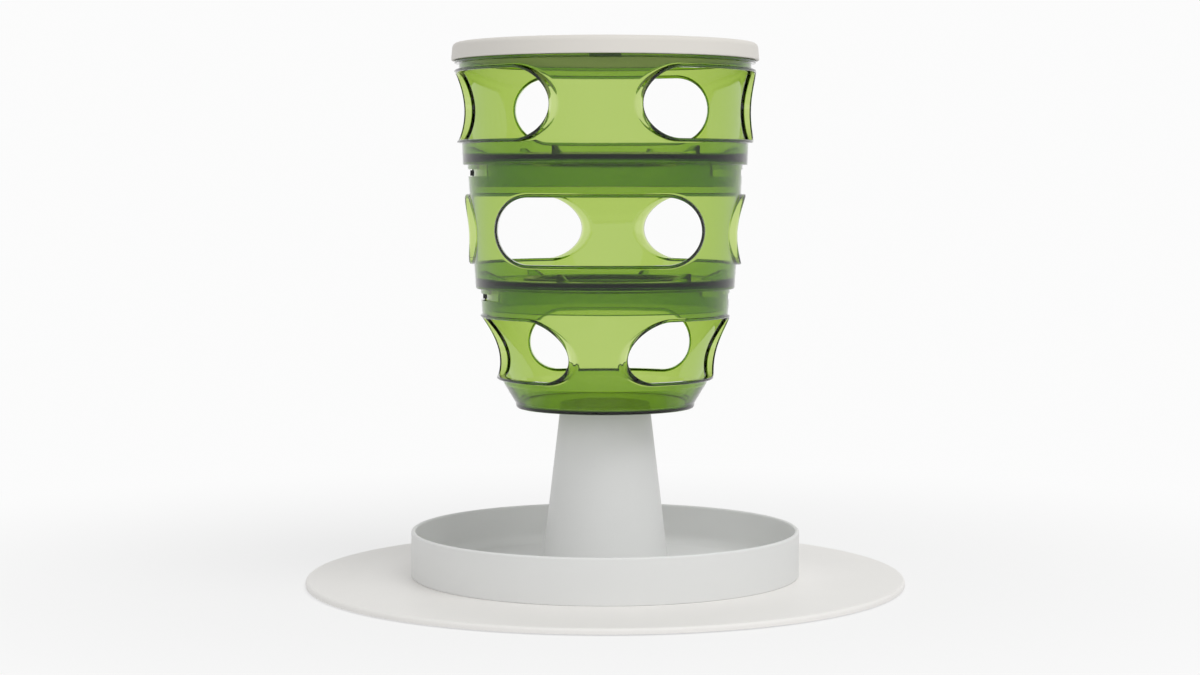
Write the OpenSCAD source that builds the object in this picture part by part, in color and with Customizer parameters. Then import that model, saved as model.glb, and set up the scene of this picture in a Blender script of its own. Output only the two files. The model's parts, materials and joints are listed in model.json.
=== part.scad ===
// Cat food tree: a wide base plate with a dish, a tapered column, and a tower
// of three see-through tiers with paw openings, closed by a lid.
// Millimetres, +Z up, origin on the floor under the middle. The front faces -Y,
// and angles named "turn" count from the front towards +X.

/* [Base plate] */
// Diameter of the base plate
plate_d = 350; // [300:1:420]
// Thickness of the base plate under the dish
plate_t = 3.9; // [3.4:0.1:6]
// Fall of the plate's top from the dish to the edge
plate_fall = 0.7; // [0:0.1:1]
// Radius of the plate's rounded top edge
plate_edge_r = 1.8; // [0.5:0.1:2.2]
// Depth of the hollow under the plate
plate_hollow = 1.5; // [0.8:0.1:1.6]
// Width of the plate's rim and of the ribs under it
plate_rib_w = 2.4; // [1.5:0.1:4]
// Number of ribs under the plate
plate_ribs = 6; // [3:1:12]

/* [Rubber pads] */
// Diameter of a rubber pad
pad_d = 18; // [10:1:24]
// How far a pad stands below the plate
pad_proud = 0.8; // [0.5:0.1:2]
// Number of pads
pad_count = 6; // [3:1:12]
// Distance from the plate's edge to the middle of a pad
pad_inset = 25; // [20:1:45]

/* [Food dish] */
// Outer diameter of the dish
dish_d = 227.2; // [180:0.2:280]
// Height of the dish above the plate
dish_h = 26.5; // [15:0.5:45]
// Thickness of the dish wall
dish_wall = 2.5; // [1.6:0.1:4]
// Thickness of the dish floor
dish_floor_t = 2.3; // [1.6:0.1:4]
// Radius between the dish floor and its wall
dish_fillet_r = 6; // [2:0.5:10]

/* [Column] */
// Diameter of the column at the dish floor
column_foot_d = 75; // [64:1:100]
// Diameter of the column at its top
column_top_d = 52.6; // [50:0.2:70]
// Height of the column above the dish floor
column_h = 95.4; // [60:0.2:140]
// Thickness of the column wall
column_wall = 2.6; // [1.8:0.1:4]
// Thickness of the plate that closes the column's top
column_top_t = 3; // [2:0.1:5]
// Height of the screw posts inside the column
post_h = 22; // [14:1:40]
// Diameter of a screw post
post_d = 9; // [7:0.5:11]

/* [Column screws] */
// Number of screws
screw_count = 3; // [3:1:5]
// Radius of the circle that the screws lie on
screw_circle_r = 26; // [20:0.5:27]
// Diameter of a screw's shank
screw_d = 3.5; // [2.5:0.1:4.5]
// Diameter of a screw's countersunk head
screw_head_d = 7; // [5:0.1:8.5]
// Height of a screw's countersunk head
screw_head_h = 1.9; // [1.4:0.1:2.2]
// Length of a screw
screw_l = 17; // [12:0.5:24]

/* [Tower] */
// Wall thickness of the tiers
tier_wall = 2.4; // [1.8:0.1:3.4]
// Thickness of the tiers' floors
floor_t = 1.8; // [1.2:0.1:3]
// Height of a floor's top above the edge of its skirt
floor_rise = 5; // [4:0.1:8]
// How far a skirt reaches down over the collar below it
skirt_lap = 1.6; // [1:0.1:2]
// Number of webs between a floor and its wall
web_count = 6; // [3:1:9]
// Length of a web along the floor
web_l = 16; // [8:0.5:20]
// Height of a web above the floor
web_h = 5.5; // [3:0.1:7]
// Thickness of a web
web_t = 2; // [1.2:0.1:3]
// Turn of the first web from the front, before the tower's turn
web_turn = -17; // [-60:0.5:60]
// Turn of the whole tower on the column
tower_turn = -3.5; // [-30:0.5:30]
// Number of paw openings in a tier
paw_count = 3; // [2:1:3]
// Width of the raised lip around a paw opening
lip_w = 1.7; // [1:0.1:3]

/* [Lower tier] */
// Diameter of the cup's bottom
cup_bottom_d = 104.8; // [90:0.2:110]
// Diameter of the cup at its knee
cup_knee_d = 118.6; // [114:0.2:126]
// Height of the cup from its bottom to its knee
cup_knee_h = 14.5; // [10:0.5:20]
// Radius of the cup's bottom edge
cup_edge_r = 3; // [1:0.5:4]
// Diameter of the lower tier at its shoulder
lower_shoulder_d = 143.4; // [136:0.2:145]
// Height of the wall between knee and shoulder
lower_wall_h = 39; // [34:0.5:50]
// Diameter of the collar that the middle tier turns on
lower_collar_d = 145.4; // [145:0.2:152]
// Height of the collar that shows
lower_collar_h = 16.3; // [14:0.1:24]
// Half width of a paw opening
lower_paw_half_w = 48; // [40:0.5:50]
// Half height of a paw opening
lower_paw_half_h = 17.3; // [13:0.1:17.5]
// Height of the middle of a paw opening above the knee
lower_paw_rise = 21.4; // [19:0.1:24]
// How far a lip stands proud at its lower edge
lower_lip_foot = 3; // [0.5:0.1:4]
// How far a lip stands proud at its upper edge
lower_lip_head = 1.2; // [0:0.1:2]

/* [Middle tier] */
// Diameter of the collar that the upper tier turns on
middle_collar_d = 160; // [154:0.2:168]
// Height of the middle tier from skirt edge to skirt edge
middle_h = 71.6; // [66:0.2:90]
// Half width of a paw opening
middle_paw_half_w = 57.6; // [46:0.2:60]
// Half height of a paw opening
middle_paw_half_h = 18.8; // [14:0.1:19.4]
// Height of the middle of a paw opening above the skirt edge
middle_paw_rise = 34.3; // [32:0.1:38]
// How far a lip stands proud of the wall
middle_lip_out = 2.9; // [0.5:0.1:3.5]

/* [Upper tier] */
// Diameter of the wall where the neck begins
upper_neck_d = 169.6; // [168:0.2:178]
// Height of the neck between the wall and the flange
upper_neck_h = 2; // [1:0.1:4]
// Height of the upper tier from its skirt edge to the lid
upper_h = 60.3; // [58:0.1:80]
// Half width of a paw opening
upper_paw_half_w = 58.2; // [46:0.2:61]
// Half height of a paw opening
upper_paw_half_h = 19.5; // [14:0.1:20]
// Height of the middle of a paw opening above the skirt edge
upper_paw_rise = 33.8; // [32:0.1:36]
// How far a lip stands proud of the wall
upper_lip_out = 2.8; // [0.5:0.1:3.5]
// How far the flange under the lid stands out
flange_out = 2.5; // [1:0.1:3.5]
// Thickness of that flange
flange_t = 1.6; // [1:0.1:3]

/* [Lid] */
// Diameter of the lid at its lower edge
lid_d = 178.6; // [177:0.2:190]
// Height of the lid
lid_h = 10; // [8:0.5:16]
// Thickness of the lid
lid_t = 2.2; // [1.6:0.1:3.4]
// Radius of the lid's top edge
lid_edge_r = 3; // [1:0.5:4]
// How much narrower the lid is at its top, on the radius
lid_draft = 0.9; // [0:0.1:2]
// How far the lid stands out past the flange that it rests on
lid_over = 1.9; // [1:0.1:2.2]
// Thickness of the liner that closes the lid from below
lid_liner_t = 1.8; // [1.2:0.1:3]
// Number of tabs that centre the lid in the neck
lid_tabs = 3; // [3:1:8]
// Angle that a centring tab covers
lid_tab_arc = 12; // [6:1:30]
// Depth of a centring tab below the liner
lid_tab_h = 2; // [1:0.1:4]

/* [Drop cups] */
// Outer diameter of a drop cup's rim on the floor
drop_rim_d = 96; // [88:1:104]
// Height of the rim above the floor
drop_rim_h = 1.5; // [1:0.1:6]
// Width of the rim's seat on the floor
drop_seat_w = 2; // [1.2:0.1:4]
// Depth of a drop cup below the floor's underside
drop_depth = 4.2; // [3:0.1:16]
// Diameter of a drop cup at its lower end
drop_outlet_d = 84; // [74:1:86]
// Width of the inturned lip at the lower end
drop_lip_w = 9; // [4:0.5:14]
// Wall thickness of a drop cup
drop_wall = 1.8; // [1.2:0.1:2.6]

/* [Twist locks] */
// Length of the spigot that hangs inside a collar
spigot_h = 15.8; // [13:0.2:18]
// Wall thickness of a spigot
spigot_t = 1.4; // [1:0.1:2.4]
// Depth of the lugs' lower side below the floor
lug_drop = 9.4; // [8:0.2:11]
// How far a lug reaches into the collar's wall
lug_out = 1.5; // [0.8:0.1:1.6]
// Height of a lug
lug_h = 3.2; // [2:0.1:3.6]
// Angle that a lug covers
lug_arc = 9; // [6:0.5:14]
// Angle that a lock window covers
window_arc = 44; // [30:1:60]
// Turn of the window's front end from the front, before the tower's turn
window_turn = -53.5; // [-80:0.5:-30]
// Diameter of the spigot that locks the tower into the column
root_spigot_d = 36; // [28:1:38]
// How far the tower's lock lugs stand out
root_lug_out = 3.4; // [2:0.1:3.6]
// Height of the tower's lock lugs
root_lug_h = 2.6; // [2:0.1:4]
// Angle that a tower lock lug covers
root_lug_arc = 40; // [25:1:50]
// Angle from locked to the keyhole's notches
root_lock_arc = 60; // [50:1:90]

/* [Fits] */
// Radial clearance between pieces that turn or lift off
turn_gap = 0.35; // [0.25:0.05:0.6]
// Upright clearance between pieces that rest on each other
seat_gap = 0.2; // [0.1:0.05:0.4]
// Angle left free at the ends of a lock window
end_gap_arc = 0.5; // [0.2:0.1:2]
// Clearance around fixed pieces
fix_gap = 0.05; // [0.02:0.01:0.2]

/* [Hidden] */

$fn = 96;
// Overlap that makes cuts and joined shapes clean
cut = 0.5;
arc_steps = 8;
lug_count = 2;

// Heights of the stack
plate_z = pad_proud;
plate_top = plate_z + plate_t;
dish_floor_z = plate_top + dish_floor_t;
dish_rim_z = plate_top + dish_h;
column_top_z = dish_floor_z + column_h;
lower_z = column_top_z + seat_gap;
knee_z = lower_z + cup_knee_h;
shoulder_z = knee_z + lower_wall_h;
middle_z = shoulder_z + lower_collar_h;
upper_z = middle_z + middle_h;
lid_z = upper_z + upper_h;

// Radii of the base, dish and column
plate_r = plate_d / 2;
pad_circle_r = plate_r - pad_inset;
dish_r = dish_d / 2;
column_foot_r = column_foot_d / 2;
column_top_r = column_top_d / 2;
root_spigot_r = root_spigot_d / 2;

// Radii of the tower: each skirt fits over the collar below it
cup_bottom_r = cup_bottom_d / 2;
cup_knee_r = cup_knee_d / 2;
lower_shoulder_r = lower_shoulder_d / 2;
lower_collar_r = lower_collar_d / 2;
middle_skirt_r = lower_collar_r + turn_gap + tier_wall;
middle_collar_r = middle_collar_d / 2;
upper_skirt_r = middle_collar_r + turn_gap + tier_wall;
upper_neck_r = upper_neck_d / 2;
lid_r = lid_d / 2;
upper_rim_r = lid_r - lid_over - flange_out;
flange_top_z = lid_z - seat_gap;
neck_plug_r = upper_rim_r - tier_wall - turn_gap;
drop_rim_r = drop_rim_d / 2;
drop_hole_r = drop_rim_r - drop_seat_w;

// Points of an arc about [x, z] from angle a0 to a1
function arc(x, z, r, a0, a1) = [
    for (i = [0 : arc_steps])
        let (a = a0 + (a1 - a0) * i / arc_steps)
        [x + r * cos(a), z + r * sin(a)]
];
// Value at z on the line from [z0, v0] to [z1, v1]
function along(z, z0, v0, z1, v1) = v0 + (v1 - v0) * (z - z0) / (z1 - z0);
// Underside of the floor in a tier whose skirt edge is at z
function floor_under(z) = z + floor_rise - floor_t;
// Lower end of the spigot under that floor, and lower side of its lugs
function spigot_end(z) = floor_under(z) - spigot_h;
function lug_end(z) = floor_under(z) - lug_drop;

// Radii of the spigots: each clears the wall around its lower end
middle_spigot_r = along(spigot_end(middle_z), shoulder_z, lower_shoulder_r, middle_z, lower_collar_r)
    - tier_wall - turn_gap;
upper_spigot_r = along(spigot_end(upper_z), middle_z, middle_skirt_r, upper_z, middle_collar_r)
    - tier_wall - turn_gap;

// Ring sector, with its start angle counted from the front
module sector(r0, r1, z0, z1, turn, angle) {
    rotate([0, 0, turn - 90])
        rotate_extrude(angle = angle)
            translate([r0, z0])
                square([r1 - r0, z1 - z0]);
}

// Copies of a child around the axis
module around(count) {
    for (i = [0 : count - 1])
        rotate([0, 0, i * 360 / count])
            children();
}

// Plate, pads and dish

module plate_outline() {
    edge_top = plate_top - plate_fall;
    polygon(concat(
        [[0, plate_z], [plate_r, plate_z]],
        arc(plate_r - plate_edge_r, edge_top - plate_edge_r, plate_edge_r, 0, 90),
        [[dish_r, plate_top], [0, plate_top]]
    ));
}

module plate_ribbing() {
    rib_top = plate_z + plate_hollow + cut;
    hollow_r = plate_r - plate_rib_w;
    around(plate_ribs)
        rotate([0, 0, 180 / plate_ribs])
            translate([column_foot_r, -plate_rib_w / 2, plate_z])
                cube([hollow_r + cut - column_foot_r, plate_rib_w, rib_top - plate_z]);
    rotate_extrude()
        translate([dish_r - plate_rib_w, plate_z])
            square([plate_rib_w, rib_top - plate_z]);
    around(pad_count)
        translate([pad_circle_r, 0, plate_z])
            difference() {
                cylinder(h = rib_top - plate_z, d = pad_d + 2 * plate_rib_w);
                translate([0, 0, -cut])
                    cylinder(h = plate_hollow + cut, d = pad_d + 2 * fix_gap);
            }
}

module base_plate() {
    color("whitesmoke")
        difference() {
            union() {
                difference() {
                    rotate_extrude() plate_outline();
                    translate([0, 0, plate_z - cut])
                        cylinder(h = plate_hollow + cut, r = plate_r - plate_rib_w);
                }
                plate_ribbing();
            }
            around(screw_count) screw_hole();
        }
}

module rubber_pads() {
    color("dimgray")
        around(pad_count)
            translate([pad_circle_r, 0, 0])
                cylinder(h = pad_proud + plate_hollow, d = pad_d);
}

module food_dish() {
    rim_r = dish_wall / 2;
    inner_r = dish_r - dish_wall;
    color("gainsboro")
        difference() {
            rotate_extrude()
                polygon(concat(
                    [[0, plate_top], [dish_r, plate_top]],
                    arc(dish_r - rim_r, dish_rim_z - rim_r, rim_r, 0, 180),
                    arc(inner_r - dish_fillet_r, dish_floor_z + dish_fillet_r,
                        dish_fillet_r, 0, -90),
                    [[0, dish_floor_z]]
                ));
            around(screw_count) screw_hole();
        }
}

// Column and its screws

module column() {
    inner_h = column_h - column_top_t;
    under_top_r = along(inner_h, 0, column_foot_r, column_h, column_top_r);
    color("gainsboro")
        difference() {
            union() {
                translate([0, 0, dish_floor_z])
                    difference() {
                        cylinder(h = column_h, r1 = column_foot_r, r2 = column_top_r);
                        translate([0, 0, -cut])
                            cylinder(h = cut, r = column_foot_r - column_wall);
                        cylinder(h = inner_h, r1 = column_foot_r - column_wall,
                            r2 = under_top_r - column_wall);
                    }
                column_posts();
            }
            column_keyhole();
            around(screw_count) screw_pilot();
        }
}

// Screw posts, each tied to the wall by a web
module column_posts() {
    wall_mid = column_wall / 2;
    intersection() {
        translate([0, 0, dish_floor_z])
            cylinder(h = column_h, r1 = column_foot_r - wall_mid, r2 = column_top_r - wall_mid);
        around(screw_count)
            translate([screw_circle_r, 0, dish_floor_z]) {
                cylinder(h = post_h, d = post_d);
                translate([0, -column_wall / 2, 0])
                    cube([column_foot_r - screw_circle_r, column_wall, post_h]);
            }
    }
}

// Round hole with two notches that let the tower's lugs through
module column_keyhole() {
    hole_r = root_spigot_r + turn_gap;
    z0 = column_top_z - column_top_t - cut;
    z1 = column_top_z + cut;
    notch_arc = root_lug_arc + 4 * end_gap_arc;
    translate([0, 0, z0])
        cylinder(h = z1 - z0, r = hole_r);
    around(lug_count)
        sector(hole_r - cut, root_spigot_r + root_lug_out + turn_gap, z0, z1,
            tower_turn + root_lock_arc - notch_arc / 2, notch_arc);
}

module screw_hole() {
    translate([screw_circle_r, 0, 0]) {
        cylinder(h = dish_floor_z + cut, d = screw_d + 2 * fix_gap);
        translate([0, 0, plate_z + plate_hollow])
            cylinder(h = screw_head_h, d1 = screw_head_d + 2 * fix_gap,
                d2 = screw_d + 2 * fix_gap);
    }
}

module screw_pilot() {
    translate([screw_circle_r, 0, dish_floor_z - cut])
        cylinder(h = screw_l - dish_floor_t + cut, d = screw_d + 2 * fix_gap);
}

module column_screws() {
    head_z = plate_z + plate_hollow;
    slot_l = screw_head_d * 0.6;
    slot_w = screw_d * 0.3;
    slot_h = screw_head_h * 0.6;
    color("silver")
        around(screw_count)
            translate([screw_circle_r, 0, head_z])
                difference() {
                    union() {
                        cylinder(h = screw_head_h, d1 = screw_head_d, d2 = screw_d);
                        cylinder(h = screw_l, d = screw_d);
                    }
                    for (a = [0, 90])
                        rotate([0, 0, a])
                            translate([-slot_l / 2, -slot_w / 2, -cut])
                                cube([slot_l, slot_w, slot_h + cut]);
                }
}

// Paw openings

module oblong(half_w, half_h) {
    square([2 * (half_w - half_h), 2 * half_h], center = true);
    for (side = [-1, 1])
        translate([side * (half_w - half_h), 0])
            circle(half_h);
}

// Straight-sided core of one opening, from the axis out through the wall
module paw_core(half_w, half_h, z, reach) {
    translate([0, 0, z])
        rotate([90, 0, 0])
            linear_extrude(reach)
                oblong(half_w, half_h);
}

// Cores of all openings of a tier
module paw_cores(half_w, half_h, z, reach, turn) {
    rotate([0, 0, turn])
        around(paw_count)
            paw_core(half_w, half_h, z, reach);
}

// Raised lips: a conical ring, kept only where the widened cores pass through it
module paw_lips(half_w, half_h, z, turn, foot_r, foot_out, head_r, head_out) {
    z0 = z - half_h - lip_w;
    z1 = z + half_h + lip_w;
    sunk = tier_wall / 2;
    intersection() {
        rotate_extrude()
            polygon([
                [foot_r - sunk, z0], [foot_r + foot_out, z0],
                [head_r + head_out, z1], [head_r - sunk, z1]
            ]);
        paw_cores(half_w + lip_w, half_h + lip_w, z, plate_r, turn);
    }
}

// Twist locks

// Spigot under a tier's floor, with lugs that reach into the collar's windows
module lock_spigot(collar_r, spigot_r, z) {
    lug_r = collar_r - tier_wall - turn_gap + lug_out;
    rotate_extrude()
        translate([spigot_r - spigot_t, spigot_end(z)])
            square([spigot_t, spigot_h + floor_t / 2]);
    around(lug_count)
        sector(spigot_r - spigot_t / 2, lug_r, lug_end(z), lug_end(z) + lug_h,
            tower_turn + window_turn - window_arc + end_gap_arc, lug_arc);
}

// Windows and entry grooves in a collar whose next skirt edge is at z
module lock_windows(collar_r, spigot_r, z) {
    groove_r = collar_r - tier_wall + lug_out;
    z0 = lug_end(z) - 2 * seat_gap;
    z1 = lug_end(z) + lug_h + 2 * seat_gap;
    groove_arc = lug_arc + end_gap_arc;
    around(lug_count) {
        sector(spigot_r, collar_r + cut, z0, z1,
            tower_turn + window_turn - window_arc, window_arc);
        sector(spigot_r, groove_r, (z0 + z1) / 2, z + floor_rise,
            tower_turn + window_turn - groove_arc - end_gap_arc / 2, groove_arc);
    }
}

// Tiers

module lower_tier() {
    wall = tier_wall;
    collar_top = middle_z + skirt_lap;
    paw_z = knee_z + lower_paw_rise;
    paw_turn = tower_turn + 180 / paw_count;
    foot_z = paw_z - lower_paw_half_h - lip_w;
    head_z = paw_z + lower_paw_half_h + lip_w;
    color("yellowgreen")
        difference() {
            union() {
                rotate_extrude()
                    polygon(concat(
                        [[0, lower_z]],
                        arc(cup_bottom_r - cup_edge_r, lower_z + cup_edge_r, cup_edge_r, -90, 0),
                        [
                            [cup_knee_r, knee_z],
                            [lower_shoulder_r, shoulder_z],
                            [lower_collar_r, middle_z],
                            [lower_collar_r, collar_top],
                            [lower_collar_r - wall, collar_top],
                            [lower_collar_r - wall, middle_z],
                            [lower_shoulder_r - wall, shoulder_z],
                            [cup_knee_r - wall, knee_z],
                            [cup_bottom_r - wall - cup_edge_r / 2, lower_z + floor_t],
                            [0, lower_z + floor_t]
                        ]
                    ));
                paw_lips(lower_paw_half_w, lower_paw_half_h, paw_z, paw_turn,
                    along(foot_z, knee_z, cup_knee_r, shoulder_z, lower_shoulder_r),
                    lower_lip_foot,
                    along(head_z, knee_z, cup_knee_r, shoulder_z, lower_shoulder_r),
                    lower_lip_head);
                root_spigot();
            }
            paw_cores(lower_paw_half_w, lower_paw_half_h, paw_z, plate_r, paw_turn);
            lock_windows(lower_collar_r, middle_spigot_r, middle_z);
        }
}

// Spigot that plugs the tower into the column, with lugs under the column's top
module root_spigot() {
    lug_top = column_top_z - column_top_t - seat_gap;
    end_z = lug_top - root_lug_h;
    rotate_extrude()
        translate([root_spigot_r - tier_wall, end_z])
            square([tier_wall, lower_z + floor_t / 2 - end_z]);
    around(lug_count)
        sector(root_spigot_r - tier_wall / 2, root_spigot_r + root_lug_out, end_z, lug_top,
            tower_turn - root_lug_arc / 2, root_lug_arc);
}

// Floor, skirt and wall of a tier that sits on a collar. The crown is the outline
// from the top of the wall outside to the top of the wall inside.
module skirted_tier(below_r, spigot_r, skirt_r, z, crown) {
    floor_z = z + floor_rise;
    floor_r = along(floor_z, z, skirt_r, crown[0].y, crown[0].x) - tier_wall;
    rest_z = z + skirt_lap + seat_gap;
    step_r = spigot_r - spigot_t / 2;
    rotate_extrude()
        polygon(concat(
            [[below_r + turn_gap, z], [skirt_r, z]],
            crown,
            [
                [floor_r, floor_z],
                [drop_hole_r, floor_z],
                [drop_hole_r, floor_under(z)],
                [step_r, floor_under(z)],
                [step_r, rest_z],
                [below_r + turn_gap, rest_z]
            ]
        ));
    floor_webs(floor_z, floor_r);
    lock_spigot(below_r, spigot_r, z);
}

// Sloping webs that brace a floor against the wall of radius r around it
module floor_webs(z, r) {
    rotate([0, 0, tower_turn + web_turn])
        around(web_count)
            translate([web_t / 2, 0, z - cut])
                rotate([90, 0, -90])
                    linear_extrude(web_t)
                        polygon([
                            [r - web_l, 0], [r + cut, 0], [r + cut, web_h + cut],
                            [r - web_l / 4, web_h + cut], [r - web_l, cut]
                        ]);
}

module middle_tier() {
    collar_top = upper_z + skirt_lap;
    paw_z = middle_z + middle_paw_rise;
    foot_z = paw_z - middle_paw_half_h - lip_w;
    head_z = paw_z + middle_paw_half_h + lip_w;
    color("yellowgreen")
        difference() {
            union() {
                skirted_tier(lower_collar_r, middle_spigot_r, middle_skirt_r, middle_z, [
                    [middle_collar_r, upper_z],
                    [middle_collar_r, collar_top],
                    [middle_collar_r - tier_wall, collar_top],
                    [middle_collar_r - tier_wall, upper_z]
                ]);
                paw_lips(middle_paw_half_w, middle_paw_half_h, paw_z, tower_turn,
                    along(foot_z, middle_z, middle_skirt_r, upper_z, middle_collar_r),
                    middle_lip_out,
                    along(head_z, middle_z, middle_skirt_r, upper_z, middle_collar_r),
                    middle_lip_out);
            }
            paw_cores(middle_paw_half_w, middle_paw_half_h, paw_z, plate_r, tower_turn);
            lock_windows(middle_collar_r, upper_spigot_r, upper_z);
        }
}

module upper_tier() {
    paw_z = upper_z + upper_paw_rise;
    paw_turn = tower_turn + 180 / paw_count;
    foot_z = paw_z - upper_paw_half_h - lip_w;
    head_z = paw_z + upper_paw_half_h + lip_w;
    flange_z = flange_top_z - flange_t;
    neck_z = flange_z - upper_neck_h;
    color("yellowgreen")
        difference() {
            union() {
                skirted_tier(middle_collar_r, upper_spigot_r, upper_skirt_r, upper_z, [
                    [upper_neck_r, neck_z],
                    [upper_rim_r, flange_z],
                    [upper_rim_r, flange_top_z],
                    [upper_rim_r - tier_wall, flange_top_z],
                    [upper_rim_r - tier_wall, flange_z],
                    [upper_neck_r - tier_wall, neck_z]
                ]);
                paw_lips(upper_paw_half_w, upper_paw_half_h, paw_z, paw_turn,
                    along(foot_z, upper_z, upper_skirt_r, neck_z, upper_neck_r), upper_lip_out,
                    along(head_z, upper_z, upper_skirt_r, neck_z, upper_neck_r), upper_lip_out);
                rotate_extrude()
                    translate([upper_rim_r - tier_wall / 2, flange_z])
                        square([flange_out + tier_wall / 2, flange_t]);
            }
            paw_cores(upper_paw_half_w, upper_paw_half_h, paw_z, plate_r, paw_turn);
        }
}

// Drop cups: a low rim seated on the floor, and a funnel that hangs through its hole

module drop_cup(z) {
    floor_z = z + floor_rise;
    neck_r = drop_hole_r - fix_gap;
    end_r = drop_outlet_d / 2;
    end_z = floor_under(z) - drop_depth;
    color("olivedrab")
        rotate_extrude()
            polygon([
                [neck_r, floor_z],
                [drop_rim_r, floor_z],
                [drop_rim_r - drop_wall / 4, floor_z + drop_rim_h],
                [drop_rim_r - drop_wall, floor_z + drop_rim_h],
                [neck_r - drop_wall, floor_z],
                [neck_r - drop_wall, floor_under(z)],
                [end_r - drop_wall, end_z + drop_wall],
                [end_r - drop_lip_w, end_z + drop_wall],
                [end_r - drop_lip_w, end_z],
                [end_r, end_z],
                [neck_r, floor_under(z)]
            ]);
}

module middle_drop_cup() {
    drop_cup(middle_z);
}

module upper_drop_cup() {
    drop_cup(upper_z);
}

// Lid: a cap on the flange, and a liner under the cap's ring that covers the rim

module lid() {
    top_r = lid_r - lid_draft;
    top_z = lid_z + lid_h;
    under_z = top_z - lid_t;
    ring_z = lid_z + lid_liner_t + fix_gap;
    skirt_in_r = lid_r - lid_t;
    color("whitesmoke")
        rotate_extrude()
            polygon(concat(
                [[skirt_in_r, lid_z], [lid_r, lid_z]],
                arc(top_r - lid_edge_r, top_z - lid_edge_r, lid_edge_r, 0, 90),
                [
                    [0, top_z],
                    [0, under_z],
                    [neck_plug_r - lid_t, under_z],
                    [neck_plug_r - lid_t, ring_z],
                    [neck_plug_r, ring_z],
                    [neck_plug_r, under_z],
                    [skirt_in_r, under_z]
                ]
            ));
}

module lid_liner() {
    color("white") {
        translate([0, 0, lid_z])
            cylinder(h = lid_liner_t, r = upper_rim_r);
        around(lid_tabs)
            sector(neck_plug_r - lid_t, neck_plug_r, lid_z - lid_tab_h, lid_z + lid_liner_t / 2,
                -lid_tab_arc / 2, lid_tab_arc);
    }
}

base_plate();
rubber_pads();
food_dish();
column();
column_screws();
lower_tier();
middle_tier();
upper_tier();
middle_drop_cup();
upper_drop_cup();
lid();
lid_liner();
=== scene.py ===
import json
import math

import bmesh
import bpy
import numpy as np
from bpy.props import FloatProperty, FloatVectorProperty, IntProperty, PointerProperty
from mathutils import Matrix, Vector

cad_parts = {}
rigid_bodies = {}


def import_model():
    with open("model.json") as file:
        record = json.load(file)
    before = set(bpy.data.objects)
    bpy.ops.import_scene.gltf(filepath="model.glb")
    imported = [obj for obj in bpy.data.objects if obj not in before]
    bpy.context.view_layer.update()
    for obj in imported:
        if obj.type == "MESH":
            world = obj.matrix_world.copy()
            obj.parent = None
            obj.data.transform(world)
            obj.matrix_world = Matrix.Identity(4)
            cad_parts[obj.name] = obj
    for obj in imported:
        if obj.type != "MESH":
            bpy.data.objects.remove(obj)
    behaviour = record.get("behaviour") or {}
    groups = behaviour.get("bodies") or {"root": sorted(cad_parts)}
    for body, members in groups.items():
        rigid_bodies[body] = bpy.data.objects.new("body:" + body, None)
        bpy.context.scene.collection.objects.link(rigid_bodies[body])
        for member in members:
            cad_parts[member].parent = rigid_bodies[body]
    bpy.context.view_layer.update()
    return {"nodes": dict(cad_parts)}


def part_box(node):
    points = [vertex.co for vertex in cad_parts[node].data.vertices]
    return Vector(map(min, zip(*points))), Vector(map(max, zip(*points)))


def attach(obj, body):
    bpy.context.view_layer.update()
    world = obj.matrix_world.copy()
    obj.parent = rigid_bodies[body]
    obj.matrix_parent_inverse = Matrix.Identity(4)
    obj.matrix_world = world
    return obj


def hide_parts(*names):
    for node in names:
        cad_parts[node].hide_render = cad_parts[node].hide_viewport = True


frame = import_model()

bl_info = {
    "name": "Cat Food Tree",
    "version": (1, 0, 0),
    "blender": (4, 5, 0),
    "location": "3D View > Sidebar > Food Tree",
    "description": "Builds the looks of a cat food tree around its packed solids",
    "category": "Object",
}

MM = 0.001

# Turns are degrees from the front (-Y) towards +X. Lengths of the tower and in the profiles are millimetres.
TOWER_TURN = -3.5
SECTOR = 60.0
LUG_ARCS = [(-100.5, -91.5), (79.5, 88.5)]
WINDOW_ARCS = [(-101.0, -57.0), (79.0, 123.0)]
GROOVE_ARCS = [(-66.75, -57.25), (113.25, 122.75)]
ROOT_LUG_ARCS = [(-23.5, 16.5), (156.5, 196.5)]
WEB_TURN = -20.5

# Heights: lower edges of the skirts, floors above them, and locks below them
SKIRT_Z = {"middle": 172.4, "upper": 244.0}
FLOOR_RISE = 5.0
FLOOR_T = 1.8
FLOORS = {body: z + FLOOR_RISE for body, z in SKIRT_Z.items()}
COLLAR_LAP = 1.6
SEAT_GAP = 0.2
SPIGOT_DROP = 12.6
LUG_DROP = (6.2, 3.0)
WINDOW_DROP = (6.6, 2.6)

# Radii and walls of the tower
TIER_WALL = 2.4
COLLAR_R = {"lower": 72.7, "middle": 80.0}
SKIRT_R = {"middle": 75.45, "upper": 82.75}
SPIGOT_R = {"middle": 69.18, "upper": 76.45}
SPIGOT_WALL = 1.4
DROP_HOLE_R = 46.0
TURN_GAP = 0.35
LUG_OUT = 2.28
ROOT_LUG_OUT = 3.4
GROOVE_DEPTH = 1.5
LIP_ROLL = 0.6

# Place of the tower's axis in the photograph, in pixels from its middle, and the photograph's width
AXIS_OFFSET_PX = 5.2
PHOTO_WIDTH_PX = 1200


# Materials

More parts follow.
